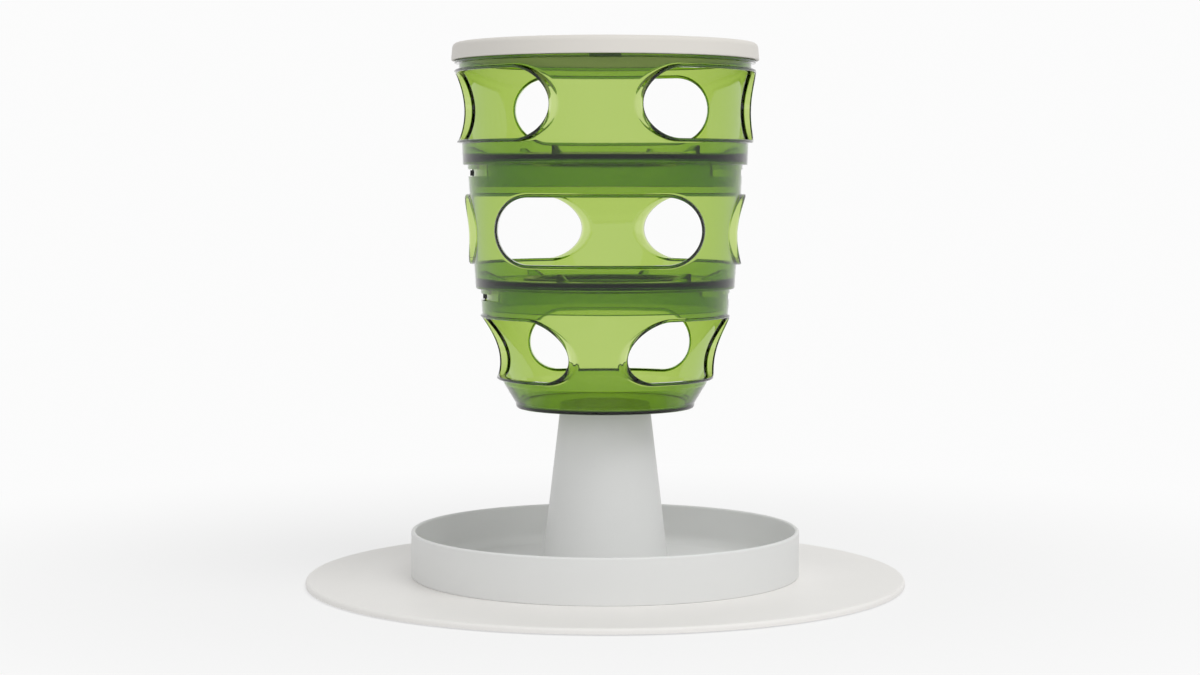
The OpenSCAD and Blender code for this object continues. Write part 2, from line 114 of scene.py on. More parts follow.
class Signal:
    """A socket of a node tree that takes part in Python expressions."""

    def __init__(self, tree, socket=None):
        self.tree = tree
        self.socket = socket

    def node(self, kind, settings=None, inputs=None, output=0):
        """Adds a node: its settings first, then the values or links of its sockets."""
        made = self.tree.nodes.new(kind)
        for key, value in (settings or {}).items():
            if key == "stops":
                self._set_stops(made.color_ramp, value)
            else:
                setattr(made, key, value)
        for key, value in (inputs or {}).items():
            if isinstance(value, Signal):
                self.tree.links.new(value.socket, made.inputs[key])
            else:
                made.inputs[key].default_value = value
        return Signal(self.tree, made.outputs[output] if made.outputs else None)

    @staticmethod
    def _set_stops(ramp, stops):
        while len(ramp.elements) < len(stops):
            ramp.elements.new(0.5)
        for element, (place, colour) in zip(ramp.elements, stops):
            element.position = place
            element.color = colour

    def maths(self, operation, first, second=0.0):
        return self.node("ShaderNodeMath", {"operation": operation}, {0: first, 1: second})

    def __add__(self, other):
        return self.maths("ADD", self, other)

    __radd__ = __add__

    def __sub__(self, other):
        return self.maths("SUBTRACT", self, other)

    def __rsub__(self, other):
        return self.maths("SUBTRACT", other, self)

    def __mul__(self, other):
        return self.maths("MULTIPLY", self, other)

    __rmul__ = __mul__

    def __truediv__(self, other):
        return self.maths("DIVIDE", self, other)


def new_material(name):
    """An empty material, and a signal to build its nodes from."""
    material = bpy.data.materials.new(name)
    material.use_nodes = True
    material.node_tree.nodes.clear()
    return material, Signal(material.node_tree)


def noise(start, place, scale, detail=2.0, rough=0.5):
    """Noise from 0 to 1 at a place, with its scale in cells per metre."""
    return start.node("ShaderNodeTexNoise", {}, {
        "Vector": place, "Scale": scale, "Detail": detail, "Roughness": rough})


def tint(start, amount, low, high):
    """A colour between two colours."""
    return start.node("ShaderNodeMix", {"data_type": "RGBA"}, {0: amount, 6: low, 7: high}, output=2)


def finish_surface(start, sockets):
    shader = start.node("ShaderNodeBsdfPrincipled", {}, sockets)
    start.node("ShaderNodeOutputMaterial", {}, {"Surface": shader})


def seen_directly(start):
    """1 for rays from the camera, also by way of a mirror or a clear piece, and 0 for light on the object."""
    path = start.node("ShaderNodeLightPath").socket.node
    camera, glossy, clear = (Signal(start.tree, path.outputs[key])
                             for key in ("Is Camera Ray", "Is Glossy Ray", "Is Transmission Ray"))
    return start.maths("MINIMUM", camera + glossy + clear, 1.0)


def with_alpha(colour, factor=1.0):
    return tuple(channel * factor for channel in colour) + (1.0,)


def moulded_white(name, colour, gloss):
    """Satin moulded plastic: a fine spark-eroded grain, faint flow marks and patches of handling sheen."""
    material, start = new_material(name)
    place = start.node("ShaderNodeTexCoord", output="Object")
    grain = noise(start, place, 2600.0, 2.0, 0.6)
    flow = noise(start, start.node("ShaderNodeMapping", {}, {
        "Vector": place, "Scale": (14.0, 14.0, 34.0)}), 1.0, 3.0, 0.55)
    smudge = noise(start, place, 26.0, 4.0, 0.62)
    shade = flow * 0.6 + grain * 0.4
    base = tint(start, shade, with_alpha(colour, 0.965), with_alpha(colour, 1.03))
    roughness = 1.0 - (gloss + smudge * 0.12 - grain * 0.05)
    height = grain * 0.8 + flow * 0.6
    normal = start.node("ShaderNodeBump", {}, {"Strength": 0.12, "Distance": 0.00035, "Height": height})
    finish_surface(start, {
        "Base Color": base, "Roughness": roughness, "Normal": normal, "IOR": 1.49})
    return material


def clear_green(name, colour, wall):
    """Clear tinted moulding: its colour deepens with depth, and its faces have a slight flow ripple."""
    material, start = new_material(name)
    place = start.node("ShaderNodeTexCoord", output="Object")
    ripple = noise(start, start.node("ShaderNodeMapping", {}, {
        "Vector": place, "Scale": (38.0, 38.0, 16.0)}), 1.0, 1.0, 0.4)
    haze = noise(start, place, 60.0, 4.0, 0.6)
    base = tint(start, ripple * 0.6 + haze * 0.4, (0.975, 0.985, 0.96, 1.0), (1.0, 1.0, 1.0, 1.0))
    roughness = 0.012 + haze * 0.04
    normal = start.node("ShaderNodeBump", {}, {"Strength": 0.05, "Distance": 0.0006, "Height": ripple})
    shader = start.node("ShaderNodeBsdfPrincipled", {}, {
        "Base Color": base, "Roughness": roughness, "Normal": normal,
        "Transmission Weight": 1.0, "IOR": 1.46})
    losses = [-math.log(channel) / wall for channel in colour]
    density = max(losses) / 0.99
    depth = start.node("ShaderNodeVolumeAbsorption", {}, {
        "Color": tuple(1 - loss / density for loss in losses) + (1.0,), "Density": density})
    start.node("ShaderNodeOutputMaterial", {}, {"Surface": shader, "Volume": depth})
    return material


def pad_rubber(name, colour):
    """Matt rubber with a coarse skin and a little dust."""
    material, start = new_material(name)
    place = start.node("ShaderNodeTexCoord", output="Object")
    skin = noise(start, place, 1500.0, 3.0, 0.65)
    dust = noise(start, place, 160.0, 4.0, 0.6)
    base = tint(start, dust * 0.5, with_alpha(colour), with_alpha(colour, 1.9))
    normal = start.node("ShaderNodeBump", {}, {"Strength": 0.35, "Distance": 0.0003, "Height": skin})
    finish_surface(start, {"Base Color": base, "Roughness": 0.72 + skin * 0.2, "Normal": normal})
    return material


def zinc_steel(name, colour):
    """Zinc plated steel: turning marks and a cloudy passivated film."""
    material, start = new_material(name)
    place = start.node("ShaderNodeTexCoord", output="Object")
    cloud = noise(start, place, 420.0, 4.0, 0.6)
    turned = noise(start, start.node("ShaderNodeMapping", {}, {
        "Vector": place, "Scale": (300.0, 300.0, 7000.0)}), 1.0, 2.0, 0.5)
    base = tint(start, cloud, with_alpha(colour, 0.85), with_alpha(colour, 1.1))
    normal = start.node("ShaderNodeBump", {}, {"Strength": 0.2, "Distance": 0.0002, "Height": turned})
    finish_surface(start, {
        "Base Color": base, "Roughness": 0.24 + cloud * 0.22, "Metallic": 1.0, "Normal": normal})
    return material


def finish_of(slot):
    """The material of one of the record's slots, made on first use."""
    if slot in bpy.data.materials and "food_tree" in bpy.data.materials[slot]:
        return bpy.data.materials[slot]
    colours = bpy.context.scene.food_tree_finish
    for old in [m for m in bpy.data.materials if m.name == slot]:
        old.name = "packed_" + slot
    if slot == "clear_green":
        made = clear_green(slot, colours.clear_green, colours.tint_depth)
    elif slot == "pad_rubber":
        made = pad_rubber(slot, colours.pad_rubber)
    elif slot == "screw_steel":
        made = zinc_steel(slot, colours.screw_steel)
    else:
        made = moulded_white(slot, getattr(colours, slot), colours.white_gloss)
    made["food_tree"] = True
    return made


# Mesh helpers

def rounded(corners, steps=5, support=0.3):
    """Rows (radius, height, tag) along corners (radius, height, rounding, tag), each rounded by an arc."""
    rows = []
    for k, (r, z, rounding, tag) in enumerate(corners):
        corner = np.array((r, z), float)
        if k in (0, len(corners) - 1) or rounding == 0:
            rows.append((r, z, tag))
            continue
        back = np.array(corners[k - 1][:2], float) - corner
        ahead = np.array(corners[k + 1][:2], float) - corner
        len_back, len_ahead = np.hypot(*back), np.hypot(*ahead)
        back, ahead = back / len_back, ahead / len_ahead
        half = math.acos(np.clip(back @ ahead, -1, 1)) / 2
        reach = min(rounding / math.tan(half), 0.45 * len_back, 0.45 * len_ahead)
        middle = (back + ahead) / np.hypot(*(back + ahead))
        centre = corner + middle * reach / math.cos(half)
        start, end = corner + back * reach - centre, corner + ahead * reach - centre
        sweep = math.atan2(start[0] * end[1] - start[1] * end[0], start @ end)
        rows.append((*(corner + back * min(reach + support, 0.49 * len_back)), tag))
        for i in range(steps + 1):
            c, s = math.cos(sweep * i / steps), math.sin(sweep * i / steps)
            rows.append((centre[0] + c * start[0] - s * start[1], centre[1] + s * start[0] + c * start[1], tag))
        rows.append((*(corner + ahead * min(reach + support, 0.49 * len_ahead)), tag))
    return rows


def around(radius, height, turn):
    """Points at a radius, height and turn, in millimetres."""
    angle = np.radians(turn)
    return np.stack(np.broadcast_arrays(radius * np.sin(angle), -radius * np.cos(angle), height), -1)


class Skin:
    """Patches of quads that are welded into one closed surface."""

    def __init__(self):
        self.points = []
        self.faces = []
        self.count = 0

    def patch(self, grid, skip=()):
        """Adds a grid of points (rows, columns, 3), without the cells (row, column) in skip."""
        rows, columns = grid.shape[:2]
        for i in range(rows - 1):
            for j in range(columns - 1):
                if (i, j) not in skip:
                    a = self.count + i * columns + j
                    self.faces.append((a, a + 1, a + columns + 1, a + columns))
        self.points.append(grid.reshape(-1, 3))
        self.count += rows * columns

    def piece(self, name, material):
        mesh = bpy.data.meshes.new(name)
        mesh.from_pydata(np.concatenate(self.points) * MM, [], self.faces)
        return closed_piece(name, mesh, material)


def closed_piece(name, mesh, material, sharp=40.0):
    """An object of a mesh that is welded, turned outwards and smooth up to an angle."""
    work = bmesh.new()
    work.from_mesh(mesh)
    bmesh.ops.remove_doubles(work, verts=work.verts, dist=4e-6)
    bmesh.ops.dissolve_degenerate(work, edges=work.edges, dist=1e-7)
    bmesh.ops.recalc_face_normals(work, faces=work.faces)
    loose = [e for e in work.edges if not e.is_manifold]
    if loose:
        raise RuntimeError(f"{name} has {len(loose)} open edges")
    if work.calc_volume(signed=True) < 0:
        bmesh.ops.reverse_faces(work, faces=work.faces)
    work.to_mesh(mesh)
    work.free()
    mesh.shade_smooth()
    mesh.set_sharp_from_angle(angle=math.radians(sharp))
    mesh.materials.clear()
    mesh.materials.append(material)
    made = bpy.data.objects.new(name, mesh)
    bpy.context.scene.collection.objects.link(made)
    return made


def finished(piece, body, slot, *nodes):
    """Puts a piece on its body and hides the solids that it stands for. The slot argument is not used."""
    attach(piece, body)
    if nodes:
        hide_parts(*nodes)
    return piece


# Geometry Nodes

class Wiring:
    """A Geometry Nodes tree with named inputs, built node by node."""

    def __init__(self, name, inputs):
        self.tree = bpy.data.node_groups.new(name, "GeometryNodeTree")
        self.ids = {}
        for label, kind in [("Geometry", "NodeSocketGeometry")] + inputs:
            socket = self.tree.interface.new_socket(label, in_out="INPUT", socket_type=kind)
            self.ids[label] = socket.identifier
        self.tree.interface.new_socket("Geometry", in_out="OUTPUT", socket_type="NodeSocketGeometry")
        self.entry = self.tree.nodes.new("NodeGroupInput")

    def given(self, label):
        return self.entry.outputs[label]

    def node(self, kind, settings=None, inputs=None, output=0):
        made = self.tree.nodes.new(kind)
        for key, value in (settings or {}).items():
            setattr(made, key, value)
        for key, value in (inputs or {}).items():
            if isinstance(value, bpy.types.NodeSocket):
                self.tree.links.new(value, made.inputs[key])
            else:
                made.inputs[key].default_value = value
        return made.outputs[output] if made.outputs else None

    def maths(self, operation, first, second=0.0):
        return self.node("ShaderNodeMath", {"operation": operation}, {0: first, 1: second})

    def close(self, geometry):
        """Ends the tree in Realize Instances and Set Material."""
        real = self.node("GeometryNodeRealizeInstances", {}, {"Geometry": geometry})
        coated = self.node("GeometryNodeSetMaterial", {}, {
            "Geometry": real, "Material": self.given("Material")})
        self.node("NodeGroupOutput", {}, {"Geometry": coated})
        return self

    def apply(self, name, mesh, values):
        """The plain mesh that the tree makes from a mesh."""
        carrier = bpy.data.objects.new(name + "_carrier", mesh)
        bpy.context.scene.collection.objects.link(carrier)
        modifier = carrier.modifiers.new(name, "NODES")
        modifier.node_group = self.tree
        for label, value in values.items():
            modifier[self.ids[label]] = value
        graph = bpy.context.evaluated_depsgraph_get()
        made = bpy.data.meshes.new_from_object(carrier.evaluated_get(graph))
        carrier.modifiers.remove(modifier)
        bpy.data.objects.remove(carrier)
        made.name = name
        return made


def turning_tree():
    """Turns a row of profile points (radius on x, height on z) about the Z axis."""
    wiring = Wiring("Turned piece", [
        ("Profile points", "NodeSocketInt"), ("Segments", "NodeSocketInt"), ("Material", "NodeSocketMaterial")])
    around_count = wiring.maths("ADD", wiring.given("Segments"), 1.0)
    grid = wiring.node("GeometryNodeMeshGrid", {}, {
        "Vertices X": wiring.given("Profile points"), "Vertices Y": around_count})
    index = wiring.node("GeometryNodeInputIndex")
    row = wiring.maths("FLOOR", wiring.maths("DIVIDE", wiring.maths("ADD", index, 0.5), around_count))
    column = wiring.maths("SUBTRACT", index, wiring.maths("MULTIPLY", row, around_count))
    angle = wiring.maths("DIVIDE", wiring.maths("MULTIPLY", column, math.tau), wiring.given("Segments"))
    point = wiring.node("GeometryNodeSampleIndex", {"data_type": "FLOAT_VECTOR"}, {
        "Geometry": wiring.given("Geometry"), "Value": wiring.node("GeometryNodeInputPosition"), "Index": row})
    turned = wiring.node("ShaderNodeVectorRotate", {"rotation_type": "Z_AXIS"}, {
        "Vector": point, "Center": (0.0, 0.0, 0.0), "Angle": angle})
    placed = wiring.node("GeometryNodeSetPosition", {}, {"Geometry": grid, "Position": turned})
    welded = wiring.node("GeometryNodeMergeByDistance", {}, {"Geometry": placed, "Distance": 2e-6})
    return wiring.close(welded)


def ring_tree():
    """Copies a mesh around the Z axis."""
    wiring = Wiring("Ring of copies", [
        ("Count", "NodeSocketInt"), ("Turn", "NodeSocketFloat"), ("Material", "NodeSocketMaterial")])
    points = wiring.node("GeometryNodePoints", {}, {"Count": wiring.given("Count")})
    share = wiring.maths("DIVIDE", wiring.node("GeometryNodeInputIndex"), wiring.given("Count"))
    angle = wiring.maths("ADD", wiring.maths("MULTIPLY", share, math.tau), wiring.given("Turn"))
    turn = wiring.node("ShaderNodeCombineXYZ", {}, {"Z": angle})
    copies = wiring.node("GeometryNodeInstanceOnPoints", {}, {
        "Points": points, "Instance": wiring.given("Geometry"), "Rotation": turn})
    return wiring.close(copies)


def turned_piece(name, rows, segments, material):
    """A piece turned from profile rows, in millimetres."""
    profile = bpy.data.meshes.new(name + "_profile")
    points = [(r * MM, 0.0, z * MM) for r, z, _ in rows]
    profile.from_pydata(points, [(i, i + 1) for i in range(len(points) - 1)], [])
    mesh = turning_tree().apply(name, profile, {
        "Profile points": len(points), "Segments": segments, "Material": material})
    return mesh


def ring_of_copies(name, mesh, count, turn, material):
    """A mesh copied around the axis, at turns from the front, as one plain mesh."""
    return ring_tree().apply(name, mesh, {
        "Count": count, "Turn": math.radians(turn), "Material": material})


# Tiers

def blended_lines(first, second, softness):
    """The lower of two lines (height, radius, slope), with a soft change from one to the other."""
    def radius(z):
        a = first[1] + first[2] * (z - first[0])
        b = second[1] + second[2] * (z - second[0])
        return (a + b) / 2 - np.sqrt(((a - b) / 2) ** 2 + softness ** 2)
    return radius


def straight_line(z0, r0, z1, r1):
    return lambda z: r0 + (r1 - r0) * (z - z0) / (z1 - z0)


def inside_of(outer):
    return lambda z: outer(z) - TIER_WALL


def oblong_ring(half_w, half_h, columns, side_steps):
    """Points and outward normals of an oblong, matched to the edge of a sector: bottom, right, top, left."""
    straight = half_w - half_h
    corner = math.pi / 4 * half_h
    run = 2 * straight + 2 * corner

    def lower_half(share):
        q = share * run
        if q < corner:
            angle, side = -0.75 * math.pi + q / half_h, -1
        elif q > run - corner:
            angle, side = -0.25 * math.pi - (run - q) / half_h, 1
        else:
            return (q - corner - straight, -half_h), (0.0, -1.0)
        normal = (math.cos(angle), math.sin(angle))
        return (side * straight + half_h * normal[0], half_h * normal[1]), normal

    def right_end(share):
        angle = (share - 0.5) * math.pi / 2
        normal = (math.cos(angle), math.sin(angle))
        return (straight + half_h * normal[0], half_h * normal[1]), normal

    shares = (columns + SECTOR) / (2 * SECTOR)
    sides = np.arange(side_steps) / side_steps
    found = [lower_half(s) for s in shares[:-1]] + [right_end(s) for s in sides]
    for share in shares[:0:-1]:
        (u, v), (nu, nv) = lower_half(share)
        found.append(((u, -v), (nu, -nv)))
    for share in sides[::-1] + 1 / side_steps:
        (u, v), (nu, nv) = right_end(share)
        found.append(((-u, v), (-nu, nv)))
    found.append(found[0])
    return np.array([f[0] for f in found]), np.array([f[1] for f in found])


def sector_edge(columns, side_steps, z0, z1):
    """Turn and height along the edge of a sector, in the same order."""
    sides = np.arange(side_steps) / side_steps
    right = np.column_stack([np.full(side_steps, SECTOR), z0 + (z1 - z0) * sides])
    left = np.column_stack([np.full(side_steps, -SECTOR), z1 - (z1 - z0) * sides])
    bottom = np.column_stack([columns[:-1], np.full(len(columns) - 1, z0)])
    top = np.column_stack([columns[:0:-1], np.full(len(columns) - 1, z1)])
    return np.concatenate([bottom, right, top, left, bottom[:1]])


def lip_profile(width, roll):
    """Rings of a lip: distance from the opening's edge, share of the straight flank, rise of its round top,
    share of the wall's depth."""
    top = width / 2
    rings = [(width + 0.6, 0.0, 0.0, 0.0), (width + 0.25, 0.04, 0.0, 0.0), (width + 0.06, 0.2, 0.0, 0.0),
             (width, 0.5, 0.0, 0.0)]
    for angle in np.linspace(0, 180, 13):
        c, s = math.cos(math.radians(angle)), math.sin(math.radians(angle))
        rings.append((top * (1 + c), 1.0, top * s, 0.0))
    rings.append((0.0, 0.45, 0.0, 0.0))
    for depth in (0.0, 0.3, 0.62):
        rings.append((0.0, 0.0, 0.0, depth))
    for angle in np.linspace(0, 90, 5):
        rings.append((roll * (1 - math.cos(math.radians(angle))), 0.0, 0.0,
                      1 - 0.26 * (1 - math.sin(math.radians(angle)))))
    rings.append((roll + 0.35, 0.0, 0.0, 1.0))
    return rings


def opening_sector(skin, tier, centre, columns, side_steps):
    """One third of a tier's wall, outside and inside, around an opening with a rolled lip."""
    half_w, half_h, paw_z = tier["opening"]
    base, normal = oblong_ring(half_w, half_h, columns, side_steps)
    edge = sector_edge(columns, side_steps, *tier["band"])
    lip_w = tier["lip_w"]
    foot_out, head_out = tier["lip_out"]
    outer, inner = tier["outer"], tier["inner"]
    lip_rings = []
    for distance, flank, top, depth in lip_profile(lip_w, LIP_ROLL):
        u = base[:, 0] + distance * normal[:, 0]
        z = paw_z + base[:, 1] + distance * normal[:, 1]
        rise = (z - paw_z + half_h + lip_w) / (2 * (half_h + lip_w))
        out = foot_out + (head_out - foot_out) * np.clip(rise, 0, 1)
        radius = outer(z) + flank * (out - lip_w / 2) + top + depth * (inner(z) - outer(z))
        lip_rings.append(np.column_stack([np.degrees(np.arcsin(u / radius)), z, radius]))
    rings = []
    for share in (0.0, 0.25, 0.5, 0.75, 0.93):
        turn, z = (edge + (lip_rings[0][:, :2] - edge) * share).T
        rings.append(np.column_stack([turn, z, outer(z)]))
    rings += lip_rings
    for share in (0.93, 0.75, 0.5, 0.25, 0.0):
        turn, z = (edge + (lip_rings[-1][:, :2] - edge) * share).T
        rings.append(np.column_stack([turn, z, inner(z)]))
    grid = np.stack(rings)
    skin.patch(around(grid[..., 2], grid[..., 1], centre + grid[..., 0]))


def turn_list(step, arcs):
    """Turns all the way round: an even list with close pairs at the ends of raised arcs."""
    keys = []
    for (a, b), sharp in arcs:
        for end in (a, b):
            keys += [end] if sharp else [end - 0.12, end + 0.12]
    keys = [(k - TOWER_TURN + 180) % 360 - 180 for k in keys]
    even = [t for t in np.arange(-180, 180, step)
            if t % SECTOR == 0 or min((abs(t - k) for k in keys), default=9) > step * 0.35]
    turns = np.array(sorted(even + keys))
    return np.append(turns, turns[0] + 360) + TOWER_TURN


def within(turns, arcs):
    """Which turns lie on one of the arcs."""
    found = np.zeros(len(turns), bool)
    for a, b in arcs:
        found |= (turns - a) % 360 <= (b - a) + 1e-6
        found |= np.abs((turns - a + 180) % 360 - 180) < 1e-6
    return found


def turned_rows(skin, rows, turns, raised):
    """Turns rows into a wall. A tagged row is raised on its tag's arcs; a pair of window rows leaves gaps."""
    r = np.array([row[0] for row in rows])
    z = np.array([row[1] for row in rows])
    radius = np.repeat(r[:, None], len(turns), 1)
    for tag, (arcs, lift) in raised.items():
        hit = np.array([tag in row[2] for row in rows])
        inside = [(a + 0.1, b - 0.1) for a, b in arcs]
        radius += lift * np.outer(hit, within(turns, inside))
    grid = around(radius, z[:, None], turns[None, :])
    skip = set()
    edges = {}
    for i, row in enumerate(rows):
        for tag in ("out_low", "out_high", "in_low", "in_high"):
            if tag in row[2]:
                edges[tag] = i
    if edges:
        for a, b in WINDOW_ARCS:
            on = np.flatnonzero(within(turns[:-1], [(a, b)]))
            for low, high in (("out_low", "out_high"), ("in_high", "in_low")):
                skip |= {(edges[low], j) for j in on[:-1]}
            span = slice(on[0], on[-1] + 1)
            for end in ("low", "high"):
                skin.patch(grid[[edges["out_" + end], edges["in_" + end]], span])
            for j in (on[0], on[-1]):
                skin.patch(grid[[[edges["out_low"], edges["out_high"]], [edges["in_low"], edges["in_high"]]], j])
    skin.patch(grid, skip)


def skirt_rows(body, below_r, outer, inner, band_low):
    """From the wall's foot outside, around skirt, lock spigot and floor, to the wall's foot inside."""
    z, spigot_r, floor_z = SKIRT_Z[body], SPIGOT_R[body], FLOORS[body]
    under, rest, end_z = floor_z - FLOOR_T, z + COLLAR_LAP + SEAT_GAP, z - SPIGOT_DROP
    lug_low, lug_top = (z - drop for drop in LUG_DROP)
    lug_edge = 0.15
    slot_r, bore_r = below_r + TURN_GAP, spigot_r - SPIGOT_WALL
    return rounded([
        (outer(band_low), band_low, 0, ""),
        (SKIRT_R[body], z, 0.7, ""), (slot_r, z, 0.5, ""), (slot_r, rest, 0.3, ""), (spigot_r, rest, 0.3, ""),
        (spigot_r, lug_top + lug_edge, 0, ""), (spigot_r, lug_top, 0, "lug"), (spigot_r, lug_low, 0, "lug"),
        (spigot_r, lug_low - lug_edge, 0, ""), (spigot_r, end_z, 0.5, ""), (bore_r, end_z, 0.5, ""),
        (bore_r, under, 0.5, ""), (DROP_HOLE_R, under, 0.3, ""), (DROP_HOLE_R, floor_z, 0.3, ""),
        (float(inner(floor_z)), floor_z, 1.6, ""), (inner(band_low), band_low, 0, "")])


def collar_rows(collar_r, z, outer, inner, band_high):
    """From the wall's head outside, over the collar with its lock windows, to the wall's head inside."""
    bore_r, top = collar_r - TIER_WALL, z + COLLAR_LAP
    low, high = (z - drop for drop in WINDOW_DROP)
    return rounded([
        (outer(band_high), band_high, 0, ""),
        (outer(low), low, 0, "out_low"), (outer(high), high, 0, "out_high"),
        (collar_r, z, 0, ""), (collar_r, top, 0.6, ""), (bore_r, top, 0.6, "groove"),
        (bore_r, z, 0, "groove"), (inner(high), high, 0, "in_high groove"), (inner(low), low, 0, "in_low"),
        (inner(band_high), band_high, 0, "")])


def tower_tiers(sizes):
    """What each tier is made from. An opening is its half width, its half height and its middle's height."""
    bend_z, bend_r, head_z, head_r = 117.1, 59.3, 156.1, 71.7
    neck_z, neck_r = 300.5, 84.8
    middle_z, upper_z = SKIRT_Z["middle"], SKIRT_Z["upper"]
    flare = (head_r - bend_r) / (head_z - bend_z)
    collar_flare = (COLLAR_R["lower"] - head_r) / (middle_z - head_z)
    lower_outer = blended_lines((bend_z, bend_r, flare), (head_z, head_r, collar_flare), 0.3)
    middle_outer = straight_line(middle_z, SKIRT_R["middle"], upper_z, COLLAR_R["middle"])
    upper_outer = straight_line(upper_z, SKIRT_R["upper"], neck_z, neck_r)
    lower_inner, middle_inner, upper_inner = map(inside_of, (lower_outer, middle_outer, upper_outer))
    lower_band, middle_band, upper_band = (117.7, 160.5), (181.0, 232.0), (252.5, 300.4)
    lip_w = sizes.lip_width / MM
    foot_z, top_z = lower_band[0], upper_band[1]
    base_z, root_r, root_z = 102.6, 18.0, 96.6
    root_lug_z = root_z + 2.6
    cup_outside = rounded([
        (float(lower_outer(foot_z)), foot_z, 0, ""), (bend_r, bend_z, 4, ""), (52.4, base_z + 3.0, 1.6, ""),
        (52.0, base_z, 2.4, ""), (root_r, base_z, 0.4, ""), (root_r, root_lug_z + 0.15, 0, ""),
        (root_r, root_lug_z, 0, "root_lug"), (root_r, root_z, 0.4, "root_lug"), (root_r - 2.0, root_z, 0.4, ""),
        (root_r - 2.0, base_z, 0.4, ""), (0.0, base_z, 0, "")])
    cup_inside = rounded([
        (0.0, base_z + FLOOR_T, 0, ""), (48.5, base_z + FLOOR_T, 2.5, ""), (bend_r - TIER_WALL, bend_z, 4, ""),
        (float(lower_inner(foot_z)), foot_z, 0, "")])
    rim_r, flange_r, flange_z = 84.9, 87.4, 302.5
    flange_top = flange_z + 1.6
    rim = rounded([
        (float(upper_outer(top_z)), top_z, 0, ""), (rim_r, flange_z, 0.4, ""), (flange_r, flange_z, 0.5, ""),
        (flange_r, flange_top, 0.5, ""), (rim_r - TIER_WALL, flange_top, 0.5, ""),
        (rim_r - TIER_WALL, flange_z, 0, ""), (float(upper_inner(top_z)), top_z, 0, "")])
    lower_collar = collar_rows(COLLAR_R["lower"], middle_z, lower_outer, lower_inner, lower_band[1])
    middle_collar = collar_rows(COLLAR_R["middle"], upper_z, middle_outer, middle_inner, middle_band[1])
    middle_skirt = skirt_rows("middle", COLLAR_R["lower"], middle_outer, middle_inner, middle_band[0])
    upper_skirt = skirt_rows("upper", COLLAR_R["middle"], upper_outer, upper_inner, upper_band[0])
    return {
        "lower": {
            "opening": (48.0, 17.3, 138.5), "paw_turn": TOWER_TURN + SECTOR, "lip_out": (3.0, 1.2),
            "lip_w": lip_w, "band": lower_band, "outer": lower_outer, "inner": lower_inner,
            "rows": [cup_outside, cup_inside, lower_collar]},
        "middle": {
            "opening": (57.6, 18.8, 206.7), "paw_turn": TOWER_TURN, "lip_out": (2.9, 2.9),
            "lip_w": lip_w, "band": middle_band, "outer": middle_outer, "inner": middle_inner,
            "rows": [middle_skirt, middle_collar]},
        "upper": {
            "opening": (58.2, 19.5, 277.8), "paw_turn": TOWER_TURN + SECTOR, "lip_out": (2.8, 2.8),
            "lip_w": lip_w, "band": upper_band, "outer": upper_outer, "inner": upper_inner,
            "rows": [upper_skirt, rim]},
    }


def tier_piece(name, tier, step, material):
    """One tier as a closed skin: wall sectors with openings, and the turned rows above and below them."""
    skin = Skin()
    turns = turn_list(step, [(a, False) for a in LUG_ARCS + GROOVE_ARCS + ROOT_LUG_ARCS]
                      + [(a, True) for a in WINDOW_ARCS])
    raised = {"root_lug": (ROOT_LUG_ARCS, ROOT_LUG_OUT), "groove": (GROOVE_ARCS, GROOVE_DEPTH)}
    for rows in tier["rows"]:
        lugs = {} if any("root_lug" in row[2] for row in rows) else {"lug": (LUG_ARCS, LUG_OUT)}
        turned_rows(skin, rows, turns, {**raised, **lugs})
    for k in range(3):
        centre = tier["paw_turn"] + 2 * SECTOR * k
        relative = (turns[:-1] - centre + 180) % 360 - 180
        columns = np.sort(relative[np.abs(relative) <= SECTOR + 1e-6])
        opening_sector(skin, tier, centre, columns, side_steps=16)
    return skin.piece(name, material)


# Smaller pieces

def drop_cup_rows(floor_z):
    """Profile of a drop cup: a low rim on the floor and a short funnel with an inturned lip through its hole."""
    wall = 1.8
    rim_r, rim_z, half_rim_z = DROP_HOLE_R + 2.0, floor_z + 1.5, floor_z + 0.7
    tube_r, under = DROP_HOLE_R - 0.05, floor_z - FLOOR_T
    outlet_r, mouth_r, end_z = 42.0, 33.0, floor_z - 6.0
    return rounded([
        (rim_r, half_rim_z, 0, ""), (rim_r - 0.45, rim_z, 0.5, ""), (DROP_HOLE_R + 0.2, rim_z, 0.5, ""),
        (tube_r - wall, floor_z, 0.8, ""), (tube_r - wall, under, 0.8, ""), (outlet_r - wall, end_z + wall, 0.8, ""),
        (mouth_r, end_z + wall, 0.5, ""), (mouth_r, end_z, 0.5, ""), (outlet_r, end_z, 0.8, ""),
        (tube_r, under, 0.6, ""), (tube_r, floor_z, 0.2, ""), (rim_r, floor_z, 0.2, ""),
        (rim_r, half_rim_z, 0, "")], steps=4, support=0.15)


def floor_web(wall_r, floor_z):
    """One web that braces a floor against the wall, at the front of the tower."""
    length, flat, height, half_t = 16.0, 4.0, 5.5, 1.0
    sink, toe, edge = 0.3, 0.1, 0.28
    top_z, foot_z = floor_z + height, floor_z - sink
    outline = [(wall_r - length, foot_z), (wall_r + sink, foot_z), (wall_r + sink, top_z),
               (wall_r - flat, top_z), (wall_r - length, floor_z + toe)]
    work = bmesh.new()
    sides = [[work.verts.new((x * MM, -r * MM, z * MM)) for r, z in outline] for x in (-half_t, half_t)]
    for side in sides:
        work.faces.new(side)
    for i in range(len(outline)):
        j = (i + 1) % len(outline)
        work.faces.new((sides[0][i], sides[0][j], sides[1][j], sides[1][i]))
    bmesh.ops.recalc_face_normals(work, faces=work.faces)
    bmesh.ops.bevel(work, geom=work.edges[:], offset=edge * MM, segments=2, affect="EDGES", profile=0.5)
    mesh = bpy.data.meshes.new("floor_web")
    work.to_mesh(mesh)
    work.free()
    return mesh


# Settings

